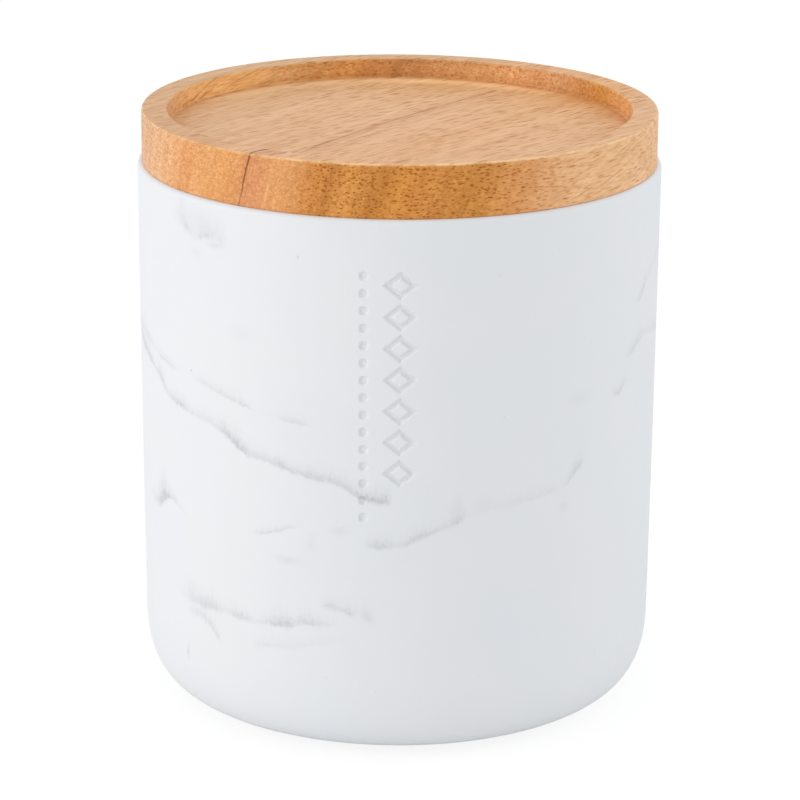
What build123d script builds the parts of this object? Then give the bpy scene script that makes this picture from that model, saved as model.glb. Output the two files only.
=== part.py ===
from build123d import *
import os
from math import cos, hypot, radians, sin

# Storage jar: a cast cup with a soft lower edge, and a turned wooden lid that lifts off.
# Millimetres, +Z up, front towards -Y. The origin is on the table under the middle of the jar.

# Jar body, cast in one piece
body_diameter = 96.0            # outside, at the rim
wall_draft = 0.7                # how far the wall has leant in where it would reach the base
body_height = 100.6             # underside of the base to the rim
wall_thickness = 5.5
floor_thickness = 7.0
base_edge_width = 12.8          # the soft lower edge, measured inwards
base_edge_height = 14.9         # and upwards
cavity_corner_radius = 8.0
rim_outer_round = 0.9
rim_inner_round = 0.7

# Soft pads in pockets under the base
pad_count = 4
pad_diameter = 10.0
pad_thickness = 1.6
pad_edge_round = 0.3
pocket_depth = 1.0
pocket_clearance = 0.15         # all round a pad
pad_margin = 2.5                # from a pad to the rim of the flat base

# Lid, turned from one blank
lid_setback = 0.8               # from the jar's side at the rim in to the lid's side
lid_thickness = 9.7             # what stands above the jar's rim
lid_top_edge_round = 0.45
lid_lower_edge_round = 0.25
tray_border = 4.7               # the flat ring round the tray
tray_depth = 3.6
tray_lip_round = 0.4
tray_corner_radius = 0.5
plug_length = 7.0
plug_gap = 1.5                  # from the plug to the jar's mouth
plug_edge_round = 0.8

# Springy ring in a groove round the plug
groove_depth = 1.8
groove_below_rim = 1.3
seal_height = 4.2
seal_band = 1.4                 # thickness of the ring behind its fins
seal_clearance = 0.3            # from the fins, at rest, to the jar's mouth
seal_groove_clearance = 0.2
fin_count = 2
fin_root = 1.1
fin_tip = 0.6

# Ornament pressed into the front: a chain of open lozenges, and a string of beads on its left
ornament_depth = 0.45
ornament_below_rim = 9.0
lozenge_count = 7
lozenge_width = 6.4
lozenge_stroke = 1.1            # width of a lozenge's line
lozenge_gap = 0.5
lozenge_chain_length = 39.2
lozenge_chain_turn = 0.5        # degrees round the jar from the front
bead_count = 15
bead_diameter = 1.8
bead_string_length = 45.8
bead_string_turn = -7.2

base_z = pad_thickness - pocket_depth
rim_z = base_z + body_height
lid_top_z = rim_z + lid_thickness
floor_z = base_z + floor_thickness
base_radius = body_diameter / 2 - wall_draft
flat_base_radius = base_radius - base_edge_width
mouth_radius = body_diameter / 2 - wall_thickness
lid_radius = body_diameter / 2 - lid_setback
plug_radius = mouth_radius - plug_gap
groove_radius = plug_radius - groove_depth
groove_top_z = rim_z - groove_below_rim
groove_bottom_z = groove_top_z - seal_height - 2 * seal_groove_clearance
pad_circle_radius = flat_base_radius - pad_margin - pad_diameter / 2


def wall_radius(z):
    """Outside radius of the drafted wall at this height."""
    share = (z - base_z) / body_height
    return base_radius + share * wall_draft


def cavity_radius(z):
    return wall_radius(z) - wall_thickness


def rounded(profile, corners):
    """The profile with each corner, given as (radius, height, rounding), rounded off."""
    for r, z, rounding in corners:
        nearest = profile.vertices().sort_by_distance(Vector(r, z))[0]
        profile = fillet(nearest, rounding)
    return profile


def turned(profile):
    """The solid that a profile of radii and heights sweeps round the jar's axis."""
    return revolve(Plane.XZ * profile, Axis.Z)


def pad_positions():
    """Middle of each pad, starting at the front left and going round clockwise from above."""
    for index in range(pad_count):
        angle = radians(225 - index * 360 / pad_count)
        yield pad_circle_radius * cos(angle), pad_circle_radius * sin(angle)


def body_shape():
    """The cup, before its ornament and pockets."""
    edge_top_z = base_z + base_edge_height
    edge_corner = (base_radius, base_z)
    outside = [
        Line((0, base_z), (flat_base_radius, base_z)),
        Bezier((flat_base_radius, base_z), edge_corner, (wall_radius(edge_top_z), edge_top_z)),
        Line((wall_radius(edge_top_z), edge_top_z), (wall_radius(rim_z), rim_z)),
    ]
    inside = Polyline(
        (wall_radius(rim_z), rim_z),
        (cavity_radius(rim_z), rim_z),
        (cavity_radius(floor_z), floor_z),
        (0, floor_z),
        (0, base_z),
    )
    profile = rounded(make_face(outside + inside.edges()), [
        (wall_radius(rim_z), rim_z, rim_outer_round),
        (cavity_radius(rim_z), rim_z, rim_inner_round),
        (cavity_radius(floor_z), floor_z, cavity_corner_radius),
    ])
    return turned(profile)


def ornament_layer():
    """The skin of the wall, as thick as the ornament is deep, with room outside it."""
    room = 2.0
    skin = Polygon(
        (wall_radius(base_z) - ornament_depth, base_z),
        (wall_radius(base_z) + room, base_z),
        (wall_radius(rim_z) + room, rim_z),
        (wall_radius(rim_z) - ornament_depth, rim_z),
        align=None,
    )
    return turned(skin)


def pressed_mark(shape, turn, z, skin):
    """A mark of this flat shape, pressed into the wall at this turn from the front and this height."""
    angle = radians(turn)
    outwards = Vector(sin(angle), -cos(angle), 0)
    wall = Plane(origin=outwards * wall_radius(z) + Vector(0, 0, z),
                 x_dir=(cos(angle), sin(angle), 0), z_dir=outwards)
    return extrude(wall * shape, amount=3 * ornament_depth, both=True) & skin


def diamond(width, height):
    return Polygon((0, -height / 2), (width / 2, 0), (0, height / 2), (-width / 2, 0), align=None)


def open_lozenge(width, height):
    """A lozenge drawn in a line, round a core that stays as high as the wall."""
    middle_to_side = width * height / hypot(width, height) / 2
    core = 1 - lozenge_stroke / middle_to_side
    return diamond(width, height) - diamond(width * core, height * core)


def ornament():
    """Every mark of the ornament, as solids to take out of the wall."""
    skin = ornament_layer()
    top_z = rim_z - ornament_below_rim
    lozenge_height = (lozenge_chain_length - (lozenge_count - 1) * lozenge_gap) / lozenge_count
    lozenge = open_lozenge(lozenge_width, lozenge_height)
    bead = Circle(bead_diameter / 2)
    bead_pitch = (bead_string_length - bead_diameter) / (bead_count - 1)
    marks = []
    for index in range(lozenge_count):
        z = top_z - lozenge_height / 2 - index * (lozenge_height + lozenge_gap)
        marks.append(pressed_mark(lozenge, lozenge_chain_turn, z, skin))
    for index in range(bead_count):
        z = top_z - bead_diameter / 2 - index * bead_pitch
        marks.append(pressed_mark(bead, bead_string_turn, z, skin))
    return marks


def jar_body():
    body = body_shape()
    for x, y in pad_positions():
        pocket = Cylinder(pad_diameter / 2 + pocket_clearance, pocket_depth,
                          align=(Align.CENTER, Align.CENTER, Align.MIN))
        body -= Pos(x, y, base_z) * pocket
    return body - ornament()


def foot_pad(x, y):
    pad = Cylinder(pad_diameter / 2, pad_thickness, align=(Align.CENTER, Align.CENTER, Align.MIN))
    pad = fillet(pad.edges().group_by(Axis.Z)[0], pad_edge_round)
    return Pos(x, y, 0) * pad


def lid():
    tray_radius = lid_radius - tray_border
    tray_z = lid_top_z - tray_depth
    plug_z = rim_z - plug_length
    profile = rounded(Polygon(
        (0, plug_z),
        (plug_radius, plug_z),
        (plug_radius, groove_bottom_z),
        (groove_radius, groove_bottom_z),
        (groove_radius, groove_top_z),
        (plug_radius, groove_top_z),
        (plug_radius, rim_z),
        (lid_radius, rim_z),
        (lid_radius, lid_top_z),
        (tray_radius, lid_top_z),
        (tray_radius, tray_z),
        (0, tray_z),
        align=None,
    ), [
        (plug_radius, plug_z, plug_edge_round),
        (lid_radius, rim_z, lid_lower_edge_round),
        (lid_radius, lid_top_z, lid_top_edge_round),
        (tray_radius, lid_top_z, tray_lip_round),
        (tray_radius, tray_z, tray_corner_radius),
    ])
    return turned(profile)


def lid_seal():
    """A ring with tapered fins that bend against the jar's mouth."""
    inner = groove_radius + seal_groove_clearance
    band = inner + seal_band
    bottom = groove_bottom_z + seal_groove_clearance
    tip = cavity_radius(bottom) - seal_clearance
    pitch = seal_height / fin_count
    outline = [(inner, bottom), (band, bottom)]
    for index in range(fin_count):
        middle = bottom + (index + 0.5) * pitch
        outline += [
            (band, middle - fin_root / 2),
            (tip, middle - fin_tip / 2),
            (tip, middle + fin_tip / 2),
            (band, middle + fin_root / 2),
        ]
    outline += [(band, bottom + seal_height), (inner, bottom + seal_height)]
    return turned(Polygon(*outline, align=None))


pad_names = ["front_left", "back_left", "back_right", "front_right"]
nodes = {"jar_body": jar_body(), "lid": lid(), "lid_seal": lid_seal()}
for name, (x, y) in zip(pad_names, pad_positions()):
    nodes["foot_pad_" + name] = foot_pad(x, y)

os.makedirs("parts", exist_ok=True)
for name, shape in nodes.items():
    export_step(shape, "parts/" + name + ".step")
    print(name, round(shape.volume / 1000, 2), "cm3")
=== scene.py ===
from math import atan2, cos, degrees, hypot, pi, radians, sin

import bmesh
import bpy
from mathutils import Matrix, Vector


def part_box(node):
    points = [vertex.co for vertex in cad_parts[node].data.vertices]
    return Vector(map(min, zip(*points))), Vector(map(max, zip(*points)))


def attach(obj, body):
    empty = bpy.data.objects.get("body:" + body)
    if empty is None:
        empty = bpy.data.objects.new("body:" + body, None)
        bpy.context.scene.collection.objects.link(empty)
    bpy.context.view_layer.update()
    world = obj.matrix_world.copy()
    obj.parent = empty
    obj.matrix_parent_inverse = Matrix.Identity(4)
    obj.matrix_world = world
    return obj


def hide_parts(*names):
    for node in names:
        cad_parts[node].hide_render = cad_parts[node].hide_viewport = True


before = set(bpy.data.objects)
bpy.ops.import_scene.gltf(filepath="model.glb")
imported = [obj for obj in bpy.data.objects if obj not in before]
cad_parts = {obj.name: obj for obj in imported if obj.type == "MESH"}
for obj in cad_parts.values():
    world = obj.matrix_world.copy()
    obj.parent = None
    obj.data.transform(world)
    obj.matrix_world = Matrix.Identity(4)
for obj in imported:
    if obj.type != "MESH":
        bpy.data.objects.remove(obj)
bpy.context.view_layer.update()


# Jar body: the cup.
# It is cast in one piece from white resin filled with marble powder, with a little grey pigment trailed
# in before it sets. The mould presses the ornament into its front and leaves the surface matte.
mm = 0.001
steps_round = 240               # faces round a turned piece
weld_distance = 0.001           # between corners that are joined, in mm
on_circle = 0.02                # how far off a circle its corners may be, in mm
crease_angle = radians(35)
base_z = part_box("jar_body")[0].z / mm
rim_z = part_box("jar_body")[1].z / mm
rim_radius = 48.0
wall_draft = 0.7                # how far the wall has leant in at the base
wall_thickness = 5.5
floor_thickness = 7.0
lower_edge_width = 12.8
lower_edge_height = 14.9
lower_edge_points = 16
cavity_corner = 8.0
rim_outer_round = 0.9
rim_inner_round = 0.7


def srgb(red, green, blue):
    """A colour as it is seen, from 0 to 1, as the linear colour that a shader takes."""
    linear = [c / 12.92 if c <= 0.04045 else ((c + 0.055) / 1.055) ** 2.4 for c in (red, green, blue)]
    return (*linear, 1.0)


def wall_radius(z):
    return rim_radius - wall_draft * (rim_z - z) / (rim_z - base_z)


def spun(outline, closed=False):
    """The surface that an outline of radii and heights, in mm, sweeps round the jar's axis."""
    mesh = bmesh.new()
    corners = [mesh.verts.new((r * mm, 0, z * mm)) for r, z in outline]
    for start, end in zip(corners, corners[1:]):
        mesh.edges.new((start, end))
    if closed:
        mesh.edges.new((corners[-1], corners[0]))
    bmesh.ops.spin(mesh, geom=mesh.verts[:] + mesh.edges[:], cent=(0, 0, 0), axis=(0, 0, 1),
                   dvec=(0, 0, 0), angle=2 * pi, steps=steps_round, use_merge=True)
    bmesh.ops.remove_doubles(mesh, verts=mesh.verts, dist=weld_distance * mm)
    return mesh


def ring(mesh, radius, z):
    """The edges of a turned mesh that lie on the circle of this radius and height."""
    def lies_there(vert):
        off_radius = abs(hypot(vert.co.x, vert.co.y) / mm - radius)
        return off_radius < on_circle and abs(vert.co.z / mm - z) < on_circle
    return [edge for edge in mesh.edges if all(lies_there(vert) for vert in edge.verts)]


def round_off(mesh, edges, radius, segments=6):
    bmesh.ops.bevel(mesh, geom=edges, offset=radius * mm, offset_type="OFFSET", segments=segments,
                    profile=0.5, affect="EDGES", material=-1, clamp_overlap=True)


def piece(name, mesh, material, body, nodes):
    """A finished piece of the object: smooth, with its creases kept sharp, riding on its body."""
    bmesh.ops.recalc_face_normals(mesh, faces=mesh.faces)
    for face in mesh.faces:
        face.smooth = True
    data = bpy.data.meshes.new(name)
    mesh.to_mesh(data)
    mesh.free()
    data.set_sharp_from_angle(angle=crease_angle)
    data.materials.append(material)
    made = bpy.data.objects.new(name, data)
    bpy.context.scene.collection.objects.link(made)
    even = made.modifiers.new("Even shading", "WEIGHTED_NORMAL")
    even.keep_sharp = True
    even.weight = 80
    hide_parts(*nodes)
    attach(made, body)


# The ornament: a chain of open lozenges and, on its left, a string of beads.
mark_depth = 0.45
mark_edge = 0.34                # how wide a mark's soft side wall is
marks_top_z = rim_z - 9.0
lozenge_count = 7
lozenge_width = 6.4
lozenge_stroke = 1.1
lozenge_gap = 0.5
chain_length = 39.2
chain_turn = radians(0.5)
bead_count = 15
bead_radius = 0.9
string_length = 45.8
string_turn = radians(-7.2)
marks_margin = 1.0              # above and below, where the wall is divided finely too
marks_left = radians(-10.5)
marks_right = radians(7.5)
hair = 0.01                     # mm, less than any step of the wall
fine_rows = 240
fine_columns = 6                # in each of the wall's faces

lozenge_height = (chain_length - (lozenge_count - 1) * lozenge_gap) / lozenge_count
lozenge_pitch = lozenge_height + lozenge_gap
lozenge_reach = lozenge_width * lozenge_height / hypot(lozenge_width, lozenge_height) / 2
bead_pitch = (string_length - 2 * bead_radius) / (bead_count - 1)
marks_bottom_z = marks_top_z - string_length


def turn_of(point):
    """Angle round the jar from the middle of its front, positive to the right."""
    return atan2(point.x, -point.y)


def soft_step(share):
    share = min(max(share, 0.0), 1.0)
    return share * share * (3 - 2 * share)


def pressed(turn, z):
    """How deep the ornament is at a place on the wall, from 0 to 1."""
    below_top = marks_top_z - z
    row = min(max(int(below_top / lozenge_pitch), 0), lozenge_count - 1)
    across = abs(turn - chain_turn) * rim_radius
    up = abs(below_top - row * lozenge_pitch - lozenge_height / 2)
    inside = (1 - across / (lozenge_width / 2) - up / (lozenge_height / 2)) * lozenge_reach
    lozenge = soft_step(min(inside, lozenge_stroke - inside) / mark_edge)

    below_first = below_top - bead_radius
    row = min(max(round(below_first / bead_pitch), 0), bead_count - 1)
    from_bead = hypot((turn - string_turn) * rim_radius, below_first - row * bead_pitch)
    bead = soft_step((bead_radius - from_bead) / mark_edge)
    return max(lozenge, bead)


def in_marks(point):
    z = point.z / mm
    in_height = marks_bottom_z - marks_margin - hair < z < marks_top_z + marks_margin + hair
    outside = hypot(point.x, point.y) / mm > rim_radius - wall_thickness / 2
    return outside and in_height and marks_left < turn_of(point) < marks_right


def divide(mesh, level, parts):
    """Divides the level or the upright edges of the faces where the ornament stands."""
    faces = [face for face in mesh.faces if in_marks(face.calc_center_median())]
    edges = {edge for face in faces for edge in face.edges
             if (abs(edge.verts[0].co.z - edge.verts[1].co.z) < hair * mm) == level}
    bmesh.ops.subdivide_edges(mesh, edges=list(edges), cuts=parts - 1, use_grid_fill=True)


def press_marks(mesh):
    """Divides the wall finely where the ornament stands, and presses it in."""
    divide(mesh, level=False, parts=fine_rows)
    divide(mesh, level=True, parts=fine_columns)

    # The faces on either side have a corner at every fine row now, so they are divided from their middle.
    beside = [face for face in mesh.faces if len(face.verts) > fine_rows]
    bmesh.ops.poke(mesh, faces=beside)
    for vert in mesh.verts:
        if in_marks(vert.co):
            turn, z = turn_of(vert.co), vert.co.z / mm
            radius = (wall_radius(z) - mark_depth * pressed(turn, z)) * mm
            vert.co.x, vert.co.y = radius * sin(turn), -radius * cos(turn)


# Pockets under the base, which hold the foot pads
pad_names = ("front_left", "back_left", "back_right", "front_right")
pocket_depth = 1.0
pocket_clearance = 0.15
pocket_steps = 48


def pad_size(name):
    """A foot pad's middle, its radius and its thickness."""
    low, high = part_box("foot_pad_" + name)
    return (low + high) / 2, (high.x - low.x) / 2, high.z - low.z


def close_base(mesh, radius):
    """Fills the open ring under the base with a flat face that has a pocket for each pad."""
    edge = ring(mesh, radius, base_z)
    mouths = []
    for name in pad_names:
        middle, pad_radius, _ = pad_size(name)
        place = Matrix.Translation((middle.x, middle.y, base_z * mm))
        made = bmesh.ops.create_circle(mesh, cap_ends=False, segments=pocket_steps,
                                       radius=pad_radius + pocket_clearance * mm, matrix=place)
        mouths.append(list({side for vert in made["verts"] for side in vert.link_edges}))
    all_round = edge + [side for mouth in mouths for side in mouth]
    bmesh.ops.triangle_fill(mesh, use_beauty=True, edges=all_round)
    for mouth in mouths:
        made = bmesh.ops.extrude_edge_only(mesh, edges=mouth)["geom"]
        verts = [part for part in made if isinstance(part, bmesh.types.BMVert)]
        bmesh.ops.translate(mesh, verts=verts, vec=(0, 0, pocket_depth * mm))
        ceiling = [part for part in made if isinstance(part, bmesh.types.BMEdge)]
        bmesh.ops.edgeloop_fill(mesh, edges=ceiling)


def cup():
    base_radius = rim_radius - wall_draft
    flat_radius = base_radius - lower_edge_width
    floor_z = base_z + floor_thickness
    floor_radius = wall_radius(floor_z) - wall_thickness

    # The lower edge starts level at the base and bends softly up into the wall.
    outline = []
    for index in range(lower_edge_points + 1):
        share = index / lower_edge_points
        radius = base_radius - lower_edge_width * (1 - share) ** 2
        outline.append((radius, base_z + lower_edge_height * share ** 2))
    outline += [
        (wall_radius(marks_bottom_z - marks_margin), marks_bottom_z - marks_margin),
        (wall_radius(marks_top_z + marks_margin), marks_top_z + marks_margin),
        (rim_radius, rim_z),
        (rim_radius - wall_thickness, rim_z),
        (floor_radius, floor_z),
        (0, floor_z),
    ]
    mesh = spun(outline)
    close_base(mesh, flat_radius)
    round_off(mesh, ring(mesh, rim_radius, rim_z), rim_outer_round)
    round_off(mesh, ring(mesh, rim_radius - wall_thickness, rim_z), rim_inner_round)
    round_off(mesh, ring(mesh, floor_radius, floor_z), cavity_corner, segments=12)
    press_marks(mesh)
    return mesh


class Wire:
    """One output of a material's nodes. Sums and products of wires add the Math nodes that they need."""

    def __init__(self, tree, socket=None):
        self.tree = tree
        self.socket = socket

    def node(self, kind, settings=None, sockets=None, output=0):
        """A new node. Its settings come first, then its sockets, each a value or a wire."""
        new = self.tree.nodes.new("ShaderNode" + kind)
        for name, value in (settings or {}).items():
            if name == "stops":
                while len(new.color_ramp.elements) < len(value):
                    new.color_ramp.elements.new(1.0)
                for element, (place, colour) in zip(new.color_ramp.elements, value):
                    element.position, element.color = place, colour
            elif name == "curve":
                points = new.mapping.curves[0].points
                points[0].location, points[1].location = value[0], value[-1]
                for place, height in value[1:-1]:
                    points.new(place, height)
                for point in points:
                    point.handle_type = "AUTO_CLAMPED"
                new.mapping.extend = "HORIZONTAL"
                new.mapping.update()
            else:
                setattr(new, name, value)
        for name, value in (sockets or {}).items():
            if isinstance(value, Wire):
                self.tree.links.new(value.socket, new.inputs[name])
            else:
                new.inputs[name].default_value = value
        return Wire(self.tree, new.outputs[output])

    def math(self, operation, *values):
        """A Math node on these values, or on the wire alone."""
        return self.node("Math", {"operation": operation}, dict(enumerate(values or (self,))))

    def __add__(self, other):
        return self.math("ADD", self, other)

    __radd__ = __add__

    def __sub__(self, other):
        return self.math("SUBTRACT", self, other)

    def __rsub__(self, other):
        return self.math("SUBTRACT", other, self)

    def __mul__(self, other):
        return self.math("MULTIPLY", self, other)

    __rmul__ = __mul__

    def __truediv__(self, other):
        return self.math("DIVIDE", self, other)

    def between(self, low, high):
        """0 up to the low value, 1 from the high one, and a soft step between."""
        return self.node("MapRange", {"interpolation_type": "SMOOTHSTEP"},
                         {"Value": self, "From Min": low, "From Max": high})

    def at_most(self, other):
        return self.math("MINIMUM", self, other)

    def bell(self, half_width):
        """1 where the value is 0, fading to nothing over a little more than the half width."""
        share = self / half_width
        return self.math("EXPONENT", share * share * -1)

    def curve(self, points):
        """The height of a curve through these points, at this value."""
        return self.node("FloatCurve", {"curve": points}, {"Value": self})

    def vector(self, operation, other):
        name = "Scale" if operation == "SCALE" else 1
        return self.node("VectorMath", {"operation": operation}, {0: self, name: other})

    def length(self):
        return self.node("VectorMath", {"operation": "LENGTH"}, {0: self}, output="Value")

    def dot(self, direction):
        return self.node("VectorMath", {"operation": "DOT_PRODUCT"}, {0: self, 1: direction}, output="Value")

    def turned(self, angle):
        """A place, turned round the jar's axis."""
        return self.node("VectorRotate", {"rotation_type": "Z_AXIS"}, {"Vector": self, "Angle": angle})

    def parts(self):
        """The three numbers of a vector."""
        split = self.node("SeparateXYZ", None, {0: self})
        return [Wire(self.tree, out) for out in split.socket.node.outputs]

    def noise(self, scale, detail=2.0, roughness=0.5):
        """Soft noise from 0 to 1. Three scales in a row stretch it along x, y and z."""
        if isinstance(scale, tuple):
            return self.vector("MULTIPLY", scale).noise(1.0, detail, roughness)
        return self.node("TexNoise", None,
                         {"Vector": self, "Scale": scale, "Detail": detail, "Roughness": roughness})

    def cells(self, scale, feature="F1"):
        """How far the nearest of many scattered points is."""
        return self.node("TexVoronoi", {"feature": feature}, {"Vector": self, "Scale": scale})

    def mix(self, first, second):
        """A colour from the first to the second, as this value goes from 0 to 1."""
        return self.node("Mix", {"data_type": "RGBA"}, {0: self, 6: first, 7: second}, output=2)

    def tinted(self, mask, tint, elsewhere=(1, 1, 1, 1)):
        """This colour times the tint where the mask is 1, and times the other tint where it is 0."""
        return self.vector("MULTIPLY", mask.mix(elsewhere, tint))

    def bump(self, strength, depth):
        return self.node("Bump", None, {"Strength": strength, "Distance": depth * mm, "Height": self})

    def feeds(self, shader, name):
        self.tree.links.new(self.socket, shader.inputs[name])


def joined(x, y, z=0.0):
    """The vector that three wires make."""
    return x.node("CombineXYZ", None, {0: x, 1: y, 2: z})


def new_material(name):
    """A node material: it, its shader, and the place on the object in mm as a wire."""
    made = bpy.data.materials.new(name)
    made.use_nodes = True
    shader = made.node_tree.nodes["Principled BSDF"]
    place = Wire(made.node_tree).node("TexCoord", output="Object").vector("SCALE", 1 / mm)
    return made, shader, place


# Veins of the casting, as paths. Each gives turn from the front in degrees, height in mm, darkness
# and how wide the vein is in mm. One path holds several veins where its darkness is nothing between.
long_vein = [(-150, 86, 0, 1), (-128, 81, 0.7, 1.2), (-104, 75.5, 0.3, 1), (-84, 71, 0.6, 1),
             (-77, 69, 0.7, 1.1), (-70.5, 67.2, 0.75, 1), (-67, 66, 0.4, 0.9), (-64, 65, 0.7, 1.1),
             (-60, 62.8, 0.4, 0.9), (-56, 62, 0.75, 0.9), (-50, 61.2, 0.3, 0.9), (-44, 60.6, 0.35, 0.9),
             (-40, 59.4, 0.8, 1.1), (-38, 58.4, 1, 1.1), (-34, 56.9, 0.7, 1), (-30, 56.2, 0.4, 0.9),
             (-25, 55.2, 0.8, 0.9), (-22, 54.7, 0.5, 0.8), (-18.5, 54.1, 0.65, 0.9), (-12.5, 53.3, 0.55, 1),
             (-8, 51.2, 0.85, 0.9), (-4, 50.4, 0.9, 1), (-1, 50.4, 0, 1)]
thin_and_front_veins = [
    (-110, 79, 0, 0.6), (-92, 75, 0.3, 0.7), (-76, 71.5, 0.3, 1.2), (-70, 70.5, 0.35, 0.9),
    (-66, 69.6, 0.15, 0.8), (-62.5, 69, 0.5, 0.5), (-57, 68.3, 0.22, 0.6), (-53, 68.4, 0.03, 0.6),
    (-44.5, 67.1, 0.35, 0.7), (-37, 65.8, 0.4, 0.7), (-34.5, 65.3, 0.5, 0.6), (-32, 64.9, 0.04, 0.5),
    (-27, 64.3, 0.04, 0.5), (-22.5, 63.8, 0.45, 0.6), (-19, 63.5, 0.12, 0.5), (-14, 63, 0, 0.5),
    (-8, 42.2, 0, 0.9), (-3.8, 42.1, 0.6, 0.9), (1, 42.2, 0.25, 1), (3.2, 43.1, 0.6, 0.9),
    (8, 44.7, 0.42, 0.8), (10.5, 45.5, 0.3, 0.9), (13, 46.5, 0.5, 1.1), (15.5, 47.4, 0.06, 1),
    (34.5, 49.7, 0.18, 1), (38, 50.1, 0.08, 1), (42, 52.7, 0.6, 0.9), (44, 53.8, 0.1, 1), (46, 54.5, 0, 1)]
low_vein = [(-160, 42, 0, 1), (-143, 38, 0.6, 1.1), (-126, 40, 0.4, 0.9), (-112, 35, 0.8, 1.2),
            (-86, 31, 0, 1), (-60, 26.5, 0, 1.2), (-54, 25.8, 0.14, 1.4), (-47.3, 25.4, 0.5, 1.1),
            (-43, 25.6, 0.5, 1.1), (-41, 25.6, 0.25, 1), (-36, 25.4, 0.6, 0.8), (-32, 25.2, 0.2, 0.8),
            (-25.5, 25.7, 0.85, 1.1), (-23.8, 25.7, 0.85, 1.1), (-22.3, 26.2, 0.45, 1),
            (-20.5, 26.8, 0.6, 0.9), (-16.3, 26.6, 0.3, 0.8), (-12, 27.2, 0, 0.8)]
short_veins = [(-74, 41, 0, 1), (-70, 40.8, 0.2, 1.2), (-66.5, 40.7, 0.5, 1.5), (-64, 42, 1, 1.7),
               (-62, 42.8, 0.95, 1.3), (-60, 43.2, 0.55, 0.8), (-57, 42.8, 0.42, 0.6), (-50, 40, 0, 0.7),
               (-33, 42, 0, 0.4), (-30, 42.3, 0.5, 0.4), (-22, 44.5, 0.12, 0.4), (-19, 45.2, 0, 0.4),
               (-17, 30.4, 0, 0.9), (-14, 30.2, 0.5, 0.8), (-12, 29.8, 0.3, 0.9), (-10.3, 29.3, 0.65, 0.9),
               (-8.3, 29.2, 0.1, 1), (-6.6, 28.6, 0.35, 1.3), (-4, 28, 0, 1.2), (52, 65.5, 0, 0.8),
               (55.7, 64.2, 0.42, 0.8), (58.3, 65.7, 0.3, 0.9), (61, 66.6, 0, 0.9), (62, 80, 0, 0.8),
               (64.4, 80.1, 0.25, 0.7), (67.2, 81.6, 0.5, 1), (69.5, 83, 0.12, 1), (84, 87, 0.3, 1),
               (110, 88.5, 0.6, 1.1), (132, 82, 0.3, 1), (148, 78, 0, 1)]
top_and_side_veins = [
    (-58, 97, 0, 2), (-53.5, 96.4, 0.15, 2), (-51.2, 95.3, 0.35, 1.4), (-48.5, 94.2, 0.18, 1.3),
    (-46, 94.5, 0.5, 1.2), (-44.4, 95, 0.5, 1.1), (-42.6, 95, 0.25, 1.4), (-40.6, 94.6, 0.3, 1.4),
    (-38.3, 94.4, 0, 1.4),
    (-34, 20.3, 0, 0.9), (-30, 21, 0.2, 0.9), (-26, 21.4, 0.17, 0.9), (-12, 23.6, 0.06, 0.8),
    (-7, 23.8, 0, 0.8), (56, 70.4, 0, 0.8), (60, 70.6, 0.22, 0.9), (65, 72.4, 0.4, 1.1),
    (68, 73, 0.15, 1), (76, 72.2, 0.25, 1.2), (104, 66, 0.8, 1.2), (122, 59, 0.9, 1.1), (141, 55, 0.5, 1),
    (163, 46, 0, 1)]
branch_veins = [(-53, 23.2, 0, 0.9), (-50, 23.3, 0.35, 1), (-47.5, 23, 0.4, 1), (-44.5, 21.4, 0.42, 1),
                (-42.8, 20.2, 0.35, 0.9), (-41, 19, 0, 0.8), (66, 20, 0, 1), (84, 24, 0.5, 1),
                (99, 30, 0.8, 1.2), (117, 31, 0.4, 1), (133, 37, 0.6, 1.1), (150, 36, 0, 1)]
# Here the turn is from the middle of the back, positive to the side that is on the left from the front.
back_vein = [(-42, 30, 0, 1), (-30, 33, 0.5, 1), (-17, 41, 0.8, 1.2), (-4, 47, 0.5, 1), (9, 58, 0.9, 1.3),
             (21, 61, 0.4, 0.9), (32, 66, 0, 0.9)]

# How dark a vein is, from a few mm below its middle to a few mm above: it fades slowly upwards.
vein_profile = [(0, 0), (0.36, 0), (0.42, 0.16), (0.46, 0.6), (0.5, 1), (0.54, 0.9), (0.58, 0.62),
                (0.66, 0.3), (0.74, 0.13), (0.86, 0.03), (0.92, 0), (1, 0)]
profile_height = 12.0

# Each soft stain gives turn in degrees, height in mm, half width and half height in mm, and darkness.
stains = [(-24, 38.1, 2.6, 0.8, 0.3), (-18.5, 41.8, 0.8, 1.6, 0.14), (-12.3, 44.5, 1.6, 0.8, 0.2),
          (-53.5, 15, 0.45, 1.3, 0.45), (-35.5, 78.6, 2.2, 1.2, 0.12), (38.6, 46.4, 0.9, 1, 0.22),
          (-48.2, 91.3, 1.4, 0.9, 0.17), (-53.4, 98.7, 0.9, 2.6, 0.13), (12.6, 49, 0.9, 2, 0.15),
          (-46.5, 97.3, 4.4, 2.4, 0.2), (-51.2, 95.7, 0.45, 0.6, 0.3), (-42.2, 93.5, 1.7, 0.4, 0.42),
          (-63.5, 45.5, 1.6, 1.8, 0.15), (42.5, 66, 2.5, 1.3, 0.13), (18.5, 49.5, 1.6, 1.2, 0.09),
          (-50.5, 69.1, 0.2, 0.2, 1), (-21.2, 93.9, 0.2, 0.2, 1), (-46.4, 26.2, 1.7, 1.3, 0.2),
          (-51.5, 28.2, 1.8, 1.1, 0.1)]


def vein(turn, z, reach, path):
    """How dark the veins of a path are. The reach stretches the fading edges."""
    start, end = path[0][0], path[-1][0]
    along = (turn - start) / (end - start)

    def drawn(column, largest):
        """One number of the path as a curve, which goes from 0 to 1 and is then stretched."""
        points = [((point[0] - start) / (end - start), point[column] / largest) for point in path]
        return along.curve(points) * largest

    middle = drawn(1, largest=100)
    width = drawn(3, largest=4)
    away = (z - middle) / (width * reach * profile_height) + 0.5
    return drawn(2, largest=1) * away.curve(vein_profile)


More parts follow.
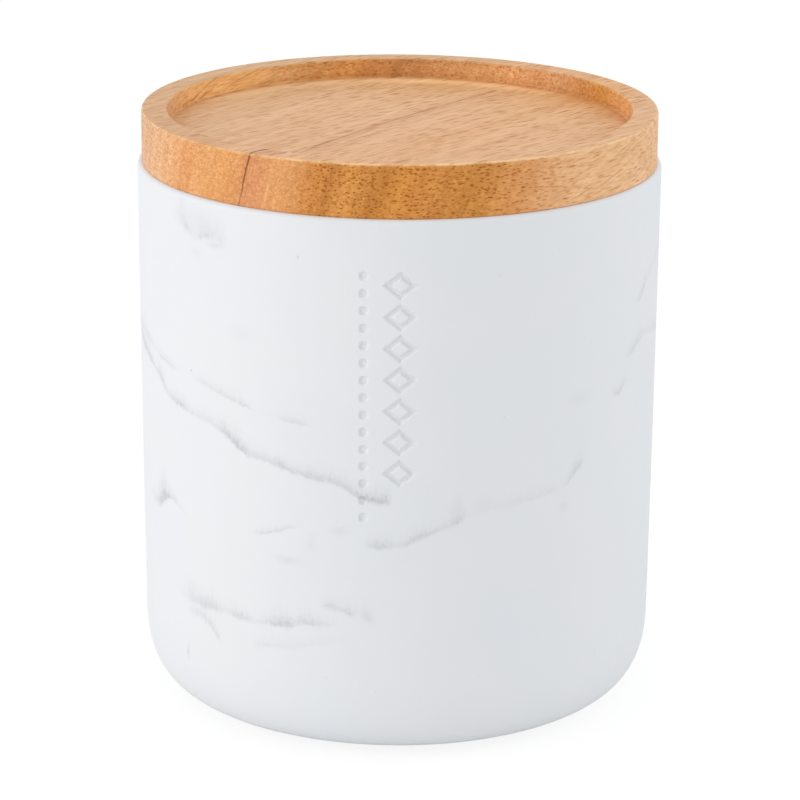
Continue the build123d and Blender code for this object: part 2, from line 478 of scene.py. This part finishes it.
def marble():
    """White cast resin with trailed grey veins."""
    made, shader, place = new_material("marble_resin")
    x, y, height = place.parts()
    front = (y * -1).between(-5.0, 15.0)

    # The paths waver a little, and behind they also wander up and down by a few mm.
    wobble = place.noise(0.4, 3.0) - 0.5
    ripple = place.noise(1.6, 2.0) - 0.5
    turn = x.math("ARCTAN2", x, y * -1) * degrees(1) + wobble * 0.8
    back_turn = x.math("ARCTAN2", x * -1, y) * degrees(1) + wobble * 0.8
    wander = (1 - front) * (place.noise(0.09, 2.0) - 0.5)
    z = height + wobble * 0.9 + ripple * 0.7 + wander * 12.0

    # The veins are drawn in upward strokes, which are everywhere on the front and in patches behind.
    strokes = place.noise((1.5, 1.5, 0.4), 3.0, 0.6).between(0.3, 0.7)
    clots = place.noise(1.1, 4.0, 0.7).between(0.34, 0.66)
    dashes = place.noise((2.6, 2.6, 0.8), 2.0, 0.6).between(0.35, 0.65)
    patches = place.noise(0.13, 2.0).between(0.4, 0.62)
    patchy = front + (1 - front) * patches
    reach = strokes * patchy * 0.34 + 0.61
    veins = vein(back_turn, z, reach, back_vein)
    for path in (long_vein, thin_and_front_veins, low_vein, short_veins, top_and_side_veins, branch_veins):
        veins = veins + vein(turn, z, reach, path)
    veins = veins * (0.55 + 0.2 * strokes + 0.38 * clots + 0.36 * dashes) * (0.45 + 0.55 * patchy)

    # The stains lie on the wall as it would be unrolled, in mm.
    unrolled = joined(turn * (rim_radius / degrees(1)), z)
    for at, up, half_width, half_height, dark in stains:
        from_middle = unrolled.vector("SUBTRACT", (at * rim_radius / degrees(1), up, 0))
        scaled = from_middle.vector("DIVIDE", (half_width, half_height, 1))
        veins = veins + scaled.length().bell(1.0) * dark

    cloud = place.noise(0.05, 2.0).between(0.35, 0.65)
    white = cloud.mix(srgb(0.901, 0.908, 0.921), srgb(0.907, 0.910, 0.918))
    speck = 1 - place.cells(0.14).between(0.012, 0.024)
    colour = (veins * 0.42).at_most(0.6).mix(white, srgb(0.60, 0.603, 0.618))
    (speck * 0.25).mix(colour, srgb(0.62, 0.61, 0.60)).feeds(shader, "Base Color")
    (0.5 + 0.12 * place.noise(0.4, 3.0)).feeds(shader, "Roughness")
    (place.noise(0.16, 2.0) + 0.06 * place.noise(2.2, 2.0)).bump(0.35, 0.12).feeds(shader, "Normal")
    shader.inputs["Specular IOR Level"].default_value = 0.35
    return made


marble_resin = marble()
piece("marble_cup", cup(), marble_resin, "jar", ["jar_body"])


# Foot pads: four soft discs.
# Each is punched from a sheet of pale closed-cell foam and pressed into its pocket under the base,
# where its own adhesive holds it.
pad_edge_round = 0.3


def foam():
    made, shader, place = new_material("pad_foam")
    cells = place.cells(3.2, "SMOOTH_F1")
    shade = place.noise(0.5, 3.0).between(0.3, 0.7)
    shade.mix(srgb(0.84, 0.84, 0.83), srgb(0.9, 0.9, 0.89)).feeds(shader, "Base Color")
    (0.82 + 0.1 * place.noise(2.0)).feeds(shader, "Roughness")
    (cells + 0.3 * place.noise(5.0, 3.0)).bump(0.5, 0.12).feeds(shader, "Normal")
    return made


pad_foam = foam()
for name in pad_names:
    middle, radius, thickness = pad_size(name)
    disc = bmesh.new()
    bmesh.ops.create_cone(disc, cap_ends=True, segments=pocket_steps, radius1=radius, radius2=radius,
                          depth=thickness, matrix=Matrix.Translation(middle))
    lower_edge = [edge for edge in disc.edges if all(vert.co.z < middle.z for vert in edge.verts)]
    round_off(disc, lower_edge, pad_edge_round, segments=4)
    piece("pad_" + name, disc, pad_foam, "jar", ["foot_pad_" + name])


# Lid seal: a springy ring.
# It is moulded from milky silicone and stretched into the groove round the lid's plug. Its two thin
# fins bend against the mouth of the jar and hold the lid.
seal_low, seal_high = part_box("lid_seal")
seal_bottom = seal_low.z / mm
seal_top = seal_high.z / mm
fin_tip_radius = seal_high.x / mm
seal_inner = 39.4
seal_band = 1.4
fin_count = 2
fin_root = 1.1
fin_tip = 0.6
fin_tip_round = 0.2


def sealing_ring():
    band_radius = seal_inner + seal_band
    fin_pitch = (seal_top - seal_bottom) / fin_count
    fin_heights = [seal_bottom + (index + 0.5) * fin_pitch for index in range(fin_count)]
    outline = [(seal_inner, seal_bottom), (band_radius, seal_bottom)]
    for fin_z in fin_heights:
        outline += [
            (band_radius, fin_z - fin_root / 2), (fin_tip_radius, fin_z - fin_tip / 2),
            (fin_tip_radius, fin_z + fin_tip / 2), (band_radius, fin_z + fin_root / 2),
        ]
    outline += [(band_radius, seal_top), (seal_inner, seal_top)]
    mesh = spun(outline, closed=True)
    for fin_z in fin_heights:
        for side in (-1, 1):
            tip_edge = ring(mesh, fin_tip_radius, fin_z + side * fin_tip / 2)
            round_off(mesh, tip_edge, fin_tip_round, segments=3)
    return mesh


def silicone():
    made, shader, place = new_material("milky_silicone")
    shade = place.noise(0.2, 2.0).between(0.3, 0.7)
    shade.mix(srgb(0.86, 0.87, 0.87), srgb(0.91, 0.915, 0.91)).feeds(shader, "Base Color")
    (0.38 + 0.12 * place.noise(1.5, 2.0)).feeds(shader, "Roughness")
    place.noise(1.2, 2.0).bump(0.2, 0.05).feeds(shader, "Normal")
    shader.inputs["Subsurface Weight"].default_value = 0.25
    shader.inputs["Subsurface Scale"].default_value = 1.5 * mm
    return made


piece("silicone_ring", sealing_ring(), silicone(), "seal", ["lid_seal"])


# Lid: one turned piece of rubberwood.
# It is faced and hollowed on a lathe from a single board, with a tray in its top and a grooved plug
# under it. The edges are broken with sandpaper and the wood is oiled.
lid_top_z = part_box("lid")[1].z / mm
plug_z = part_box("lid")[0].z / mm
lid_radius = 47.2
tray_border = 4.7
tray_depth = 3.6
tray_lip_round = 0.4
tray_corner = 0.5
lid_top_edge_round = 0.45
lid_lower_edge_round = 0.25
plug_radius = 41.0
plug_edge_round = 0.8
groove_radius = 39.2
groove_play = 0.2               # above the ring and below it
groove_top_z = seal_top + groove_play
groove_bottom_z = seal_bottom - groove_play
tray_z = lid_top_z - tray_depth
tray_radius = lid_radius - tray_border


def turned_lid():
    mesh = spun([
        (0, plug_z), (plug_radius, plug_z),
        (plug_radius, groove_bottom_z), (groove_radius, groove_bottom_z),
        (groove_radius, groove_top_z), (plug_radius, groove_top_z),
        (plug_radius, rim_z), (lid_radius, rim_z), (lid_radius, lid_top_z),
        (tray_radius, lid_top_z), (tray_radius, tray_z), (0, tray_z),
    ])
    round_off(mesh, ring(mesh, plug_radius, plug_z), plug_edge_round)
    round_off(mesh, ring(mesh, lid_radius, rim_z), lid_lower_edge_round)
    round_off(mesh, ring(mesh, lid_radius, lid_top_z), lid_top_edge_round)
    round_off(mesh, ring(mesh, tray_radius, lid_top_z), tray_lip_round)
    round_off(mesh, ring(mesh, tray_radius, tray_z), tray_corner)
    return mesh


# The board: its growth rings cross it nearly upright. Each tone gives a place across the board in mm,
# and the wood's colour there where it is sawn along the grain, at the end that looks to the front, and
# at the far end.
ring_turn = radians(55.5)       # of the rings, from +X towards +Y
fibre_turn = radians(12.5)      # from the fibres on to the rings
ring_bow = 0.00122              # how far a ring bows, in mm for a square mm along it
ring_bow_middle = 5.0
ring_lean = 0.26
rings_low = -52.0
rings_high = 40.0
sawn_tones = [
    (-52, 0.905, 0.70, 0.50), (-30, 0.91, 0.705, 0.51), (-22, 0.90, 0.685, 0.485),
    (-18, 0.925, 0.715, 0.515), (-14, 0.905, 0.68, 0.47), (-9, 0.91, 0.70, 0.50),
    (-3, 0.92, 0.715, 0.525), (2.5, 0.89, 0.675, 0.49), (5, 0.915, 0.715, 0.53),
    (11, 0.905, 0.70, 0.51), (20, 0.92, 0.72, 0.53), (28, 0.895, 0.70, 0.515),
    (40, 0.885, 0.69, 0.50)]
front_end_tones = [
    (-52, 0.87, 0.58, 0.30), (-44, 0.86, 0.56, 0.28), (-40.9, 0.88, 0.575, 0.27),
    (-36.4, 0.82, 0.545, 0.225), (-31, 0.807, 0.53, 0.235), (-25, 0.855, 0.57, 0.25),
    (-21, 0.78, 0.505, 0.20), (-16, 0.86, 0.59, 0.29), (-14.2, 0.80, 0.53, 0.235),
    (-13, 0.745, 0.47, 0.19), (-12, 0.80, 0.525, 0.23), (-10.5, 0.82, 0.54, 0.245),
    (-7.3, 0.845, 0.58, 0.33), (-3, 0.90, 0.645, 0.41), (1.5, 0.87, 0.61, 0.40),
    (4.5, 0.87, 0.60, 0.36), (9, 0.88, 0.615, 0.355), (14, 0.91, 0.665, 0.43),
    (17.3, 0.87, 0.60, 0.36), (20.5, 0.90, 0.65, 0.43), (24.5, 0.905, 0.69, 0.49),
    (32, 0.88, 0.675, 0.50), (40, 0.86, 0.67, 0.51)]
far_end_tones = [
    (-52, 0.91, 0.68, 0.45), (-27, 0.915, 0.685, 0.45), (-18, 0.83, 0.59, 0.28), (-6, 0.86, 0.645, 0.45),
    (5, 0.90, 0.68, 0.46), (15, 0.855, 0.64, 0.42), (21, 0.82, 0.595, 0.38), (26, 0.765, 0.54, 0.335),
    (30, 0.83, 0.58, 0.34), (33, 0.875, 0.63, 0.36), (40, 0.84, 0.625, 0.395)]
pore_core = 0.14                # a pore is fully dark within this share of its cell


def pores(grain, length, width, thickness, shift, widest):
    """1 in pores that lie along the grain. The sizes in mm are of the cell that a pore sits in, the shift
    keeps one set of pores from another, and the widest is the share of its cell that a pore may fill."""
    moved = grain.vector("ADD", (shift, shift, shift))
    cell = moved.vector("MULTIPLY", (1 / length, 1 / width, 1 / thickness))
    return 1 - cell.cells(1.0).between(pore_core, widest)


def rubberwood():
    """Solid wood: rings, pores and a dark growth line that run through the whole board."""
    made, shader, place = new_material("rubberwood")
    x, y, _ = place.parts()
    board = place.turned(-ring_turn)
    along, across, height = board.parts()
    over_tray = height - tray_z
    over_rim = height - rim_z
    from_middle = along - ring_bow_middle
    growth = across + from_middle * from_middle * ring_bow + over_tray * ring_lean
    drift = board.noise((0.03, 0.1, 0.06), 2.0) - 0.5
    ring_share = (growth + drift * 1.6 - rings_low) / (rings_high - rings_low)
    grown = joined(along, growth, height)
    fibres = board.turned(fibre_turn)

    # Where the surface lies: level, on end grain, or upright along the grain
    normal = place.node("TexCoord", output="Normal")
    facing = normal.dot((cos(ring_turn), sin(ring_turn), 0))
    end_grain = facing.math("ABSOLUTE").between(0.16, 0.7)
    level = normal.dot((0, 0, 1)).math("ABSOLUTE").between(0.4, 0.8)
    edge_grain = (1 - end_grain) * (1 - level)
    far = along.between(-5.0, 20.0)
    left = ring_share.between(0.8, 0.9)
    front_end = end_grain * (1 - far)
    border = level * over_tray.between(1.5, 2.5)

    # The tones of the rings. The wall that runs along the grain is paler, partly its own tone and partly a
    # painted sheen, and the border is toned apart at its left and its right.
    def toned(tones):
        stops = [((at - rings_low) / (rings_high - rings_low), srgb(*colour)) for at, *colour in tones]
        return ring_share.node("ValToRGB", {"stops": stops}, {"Fac": ring_share})

    # Painted sheen together with the wood's own paler tone, on the wall that runs along the grain
    along_grain_tone_and_sheen = left.mix((1.10, 1.16, 1.26, 1), (1.25, 1.26, 1.0, 1))
    sawn = toned(sawn_tones).tinted(edge_grain, along_grain_tone_and_sheen)
    sawn = sawn.tinted(along.between(15.0, 38.0), (0.98, 0.93, 0.80, 1))
    left_border = border * growth.between(6.0, 14.0) * (1 - 0.5 * growth.between(25.0, 31.0))
    left_tint = along.between(-30.0, -5.0).mix((0.89, 0.83, 0.75, 1), (0.89, 0.93, 0.95, 1))
    sawn = sawn.tinted(left_border, left_tint)
    right_border = border * (1 - growth.between(-36.0, -26.0)) * along.between(15.0, 25.0)
    sawn = sawn.tinted(right_border, (1.02, 1.08, 1.22, 1))
    wood = end_grain.mix(sawn, far.mix(toned(front_end_tones), toned(far_end_tones)))

    # Fine streaks follow the fibres and bands the rings. End grain has flecks and grit, and the wall
    # that runs along the grain has long dark flames.
    streaks = fibres.noise((0.09, 2.0, 2.2), 3.0, 0.62).between(0.33, 0.67)
    bands = grown.noise((0.03, 0.75, 0.05), 3.0, 0.6).between(0.36, 0.64)
    flecks = grown.noise((0.3, 0.75, 1.5), 3.0, 0.7).between(0.35, 0.65)
    grit = grown.noise((0.6, 2.4, 2.8), 2.0, 0.6).between(0.32, 0.68)
    slanted = joined(along, growth, height - along * 0.3)
    flames = slanted.noise((0.07, 0.5, 2.3), 3.0, 0.65).between(0.5, 0.68)
    flames = flames * edge_grain * (0.4 + 0.28 * left)
    wood = wood.tinted(streaks, (0.95, 0.91, 0.86, 1), elsewhere=(1.05, 1.08, 1.12, 1))
    wood = wood.tinted(bands, (0.95, 0.92, 0.86, 1), elsewhere=(1.05, 1.07, 1.12, 1))
    wood = wood.tinted(end_grain, flecks.mix((1.06, 1.11, 1.17, 1), (0.94, 0.88, 0.81, 1)))
    wood = wood.tinted(end_grain, grit.mix((1.06, 1.11, 1.18, 1), (0.94, 0.89, 0.82, 1)))
    wood = wood.tinted(flames, (0.52, 0.36, 0.20, 1))

    # Pores: thin dark strokes where the surface is level, short flat dots on the wall where they meet it
    # end on, and slivers where the wall runs along them
    strokes = pores(fibres, 4.6, 0.66, 0.5, 0.0, 0.34) + pores(fibres, 6.5, 0.9, 0.65, 40.0, 0.34)
    strokes = strokes.at_most(1.0) * level
    dots = pores(board, 3.3, 0.74, 0.49, 80.0, 0.38) + pores(board, 4.3, 0.98, 0.62, 120.0, 0.36)
    dots = dots.at_most(1.0) * (1 - level)
    flatter = joined(along, growth, height - along * 0.04)
    slivers = pores(flatter, 6.5, 0.9, 0.42, 160.0, 0.33) * edge_grain
    patchy = board.noise((0.03, 0.14, 0.12), 2.0).between(0.3, 0.6)
    heart = (1 - ring_share.between(0.44, 0.52)) * front_end
    outer = ring_share.between(0.64, 0.74) * front_end
    dark_dots = 0.2 + 0.92 * heart + 0.28 * outer + 0.55 * far * end_grain + 0.1 * edge_grain
    porous = strokes * (0.36 + 0.4 * patchy) + dots * dark_dots * (0.6 + 0.4 * patchy)
    porous = (porous + slivers * (0.22 + 0.54 * patchy)).at_most(1.0)
    wood = wood.tinted(porous, (0.64, 0.43, 0.20, 1))

    # The growth line is dark on the side and the border, and pale and soft across the tray.
    wander = board.noise((0.1, 0.3, 0.45), 2.0) - 0.5
    from_line = growth - 3.2 + wander * 0.6
    bent = from_line + level * along.between(-46.0, -40.0) * 2.2
    at_front = bent.bell(0.21 + 0.06 * level) * (1 - along.between(-40.5, -35.5))
    at_front = at_front * (0.6 + 0.4 * over_rim.between(1.0, 6.5))
    in_tray = from_line.bell(0.33) * along.between(-28.0, -23.0) * (1 - along.between(31.0, 36.0))
    beside = (growth - 0.8).bell(2.6) * (1 - along.between(-42.0, -35.0))
    wood = wood.tinted(beside, (0.93, 0.86, 0.83, 1))
    wood = wood.tinted(at_front, (0.34, 0.17, 0.10, 1))
    wood = wood.tinted(in_tray, (0.74, 0.54, 0.39, 1))

    # Painted shade darkens the tray's corner, and painted light keeps the floor pale by the back wall.
    radius = place.vector("MULTIPLY", (1, 1, 0)).length()
    painted_corner_shade = (radius - tray_radius).bell(0.9) * over_tray.bell(0.8)
    wood = wood.tinted(painted_corner_shade, (0.86, 0.75, 0.58, 1))
    # Painted light: the floor is made paler near the back wall, where the wall's shade falls on it.
    painted_back_light = (radius - 39.5).bell(2.4) * (y - 0.15 * x).between(19.0, 31.0)
    painted_back_light = painted_back_light * (1 - over_tray.between(2.4, 3.2))
    painted_light_tint = x.between(-12.0, 3.0).mix((1.18, 1.34, 1.52, 1), (1.31, 1.53, 1.80, 1))
    wood = wood.tinted(painted_back_light, painted_light_tint)

    # A painted highlight runs along the upper edge, strongest in front and broken up by noise.
    edge = (radius - (lid_radius - 0.15)).bell(0.24) * (height - (lid_top_z - 0.12)).bell(0.26)
    front_edge = x.between(-26.0, -14.0) * (1 - x.between(36.0, 44.0))
    highlight_breaks = place.noise(0.35, 4.0, 0.6).between(0.42, 0.6)
    painted_edge_highlight = edge * (0.08 + 0.36 * front_edge + (0.48 + 0.05 * front_edge) * highlight_breaks)
    painted_edge_highlight.mix(wood, srgb(1.0, 0.835, 0.63)).feeds(shader, "Base Color")

    (0.42 + 0.1 * streaks + 0.2 * porous).feeds(shader, "Roughness")
    (streaks * -0.2 - porous).bump(0.25, 0.08).feeds(shader, "Normal")
    shader.inputs["Specular IOR Level"].default_value = 0.31
    return made


piece("turned_lid", turned_lid(), rubberwood(), "lid", ["lid"])


# Table and surround: a plain white table under an even white sky.
# The camera sees both as plain white, because the table glows a little for it, and keeps a part of the
# jar's shadow.
table_mesh = bmesh.new()
bmesh.ops.create_grid(table_mesh, x_segments=1, y_segments=1, size=3.0)
table_data = bpy.data.meshes.new("table")
table_mesh.to_mesh(table_data)
table_mesh.free()
table = bpy.data.objects.new("table", table_data)
bpy.context.scene.collection.objects.link(table)

table_paint, table_shader, table_place = new_material("table_paint")
table_grain = table_place.noise(0.02).between(0.3, 0.7)
table_grain.mix(srgb(0.965, 0.967, 0.967), srgb(0.97, 0.97, 0.97)).feeds(table_shader, "Base Color")
table_shader.inputs["Roughness"].default_value = 0.9
table_shader.inputs["Specular IOR Level"].default_value = 0.0
seen = table_place.node("LightPath", output="Is Camera Ray")
glow = seen.node("Emission", None, {"Color": (1, 1, 1, 1), "Strength": 1.06})
paint = Wire(seen.tree, table_shader.outputs[0])
# For all other rays the table glows faintly too, which lights the jar's lower edge as painted light.
glow_share = 0.1 + seen * 0.7
surface = seen.node("MixShader", None, {0: glow_share, 1: paint, 2: glow})
surface.feeds(table_paint.node_tree.nodes["Material Output"], "Surface")
table_data.materials.append(table_paint)

sky_strength = 0.81
sky = bpy.data.worlds.new("white_surround")
bpy.context.scene.world = sky
sky.use_nodes = True
seen_white = Wire(sky.node_tree).node("LightPath", output="Is Camera Ray")
for kind in ("Is Glossy Ray", "Is Transmission Ray"):
    ray = seen_white.node("LightPath", output=kind)
    seen_white = seen_white.math("MAXIMUM", seen_white, ray)
background = sky.node_tree.nodes["Background"]
seen_white.mix((0.975, 0.992, 1.0, 1.0), (1.0, 1.0, 1.0, 1.0)).feeds(background, "Color")
(seen_white * (1.0 - sky_strength) + sky_strength).feeds(background, "Strength")


jar_middle = Vector((0, 0, 0.06))


def soft_lamp(name, turn, rise, away, size, power, colour):
    """A large soft lamp that looks at the middle of the jar. It stands at this turn from the front and
    this far up in degrees, and its distance and size are in metres."""
    lamp = bpy.data.lights.new(name, "AREA")
    lamp.shape = "DISK"
    lamp.size = size
    lamp.energy = power
    lamp.color = colour
    turn = radians(turn)
    rise = radians(rise)
    reach = away * cos(rise)
    place = jar_middle + Vector((reach * sin(turn), -reach * cos(turn), away * sin(rise)))
    looking = (place - jar_middle).to_track_quat("Z", "Y").to_matrix().to_4x4()
    holder = bpy.data.objects.new(name, lamp)
    holder.matrix_world = Matrix.Translation(place) @ looking
    bpy.context.scene.collection.objects.link(holder)


soft_lamp("left_softbox", turn=-68, rise=13, away=1.2, size=0.9, power=4.45, colour=(1.0, 0.97, 0.955))
soft_lamp("right_fill", turn=90, rise=25, away=1.3, size=0.8, power=2.2, colour=(0.97, 1.0, 1.0))


# Camera: at the photograph's place, a little above the jar and in front of it.
# It has a long lens and leans by a fraction of a degree, as the photograph does.
camera_away = 700.0             # mm from its aim
camera_rise = radians(16.768)
camera_roll = radians(0.388)
aim = Vector((0.383, 0, 54.705))
back = Vector((0, -cos(camera_rise), sin(camera_rise)))
sideways = Vector((1, 0, 0))
upward = back.cross(sideways)
right = cos(camera_roll) * sideways + sin(camera_roll) * upward
up = cos(camera_roll) * upward - sin(camera_roll) * sideways
stand = (aim + back * camera_away) * mm
view = bpy.data.cameras.new("camera")
view.sensor_width = 36.0
view.lens = 168.37
camera = bpy.data.objects.new("camera", view)
camera.matrix_world = Matrix((
    (right.x, up.x, back.x, stand.x),
    (right.y, up.y, back.y, stand.y),
    (right.z, up.z, back.z, stand.z),
    (0, 0, 0, 1)))
bpy.context.scene.collection.objects.link(camera)
bpy.context.scene.camera = camera
bpy.context.scene.view_settings.view_transform = "Standard"
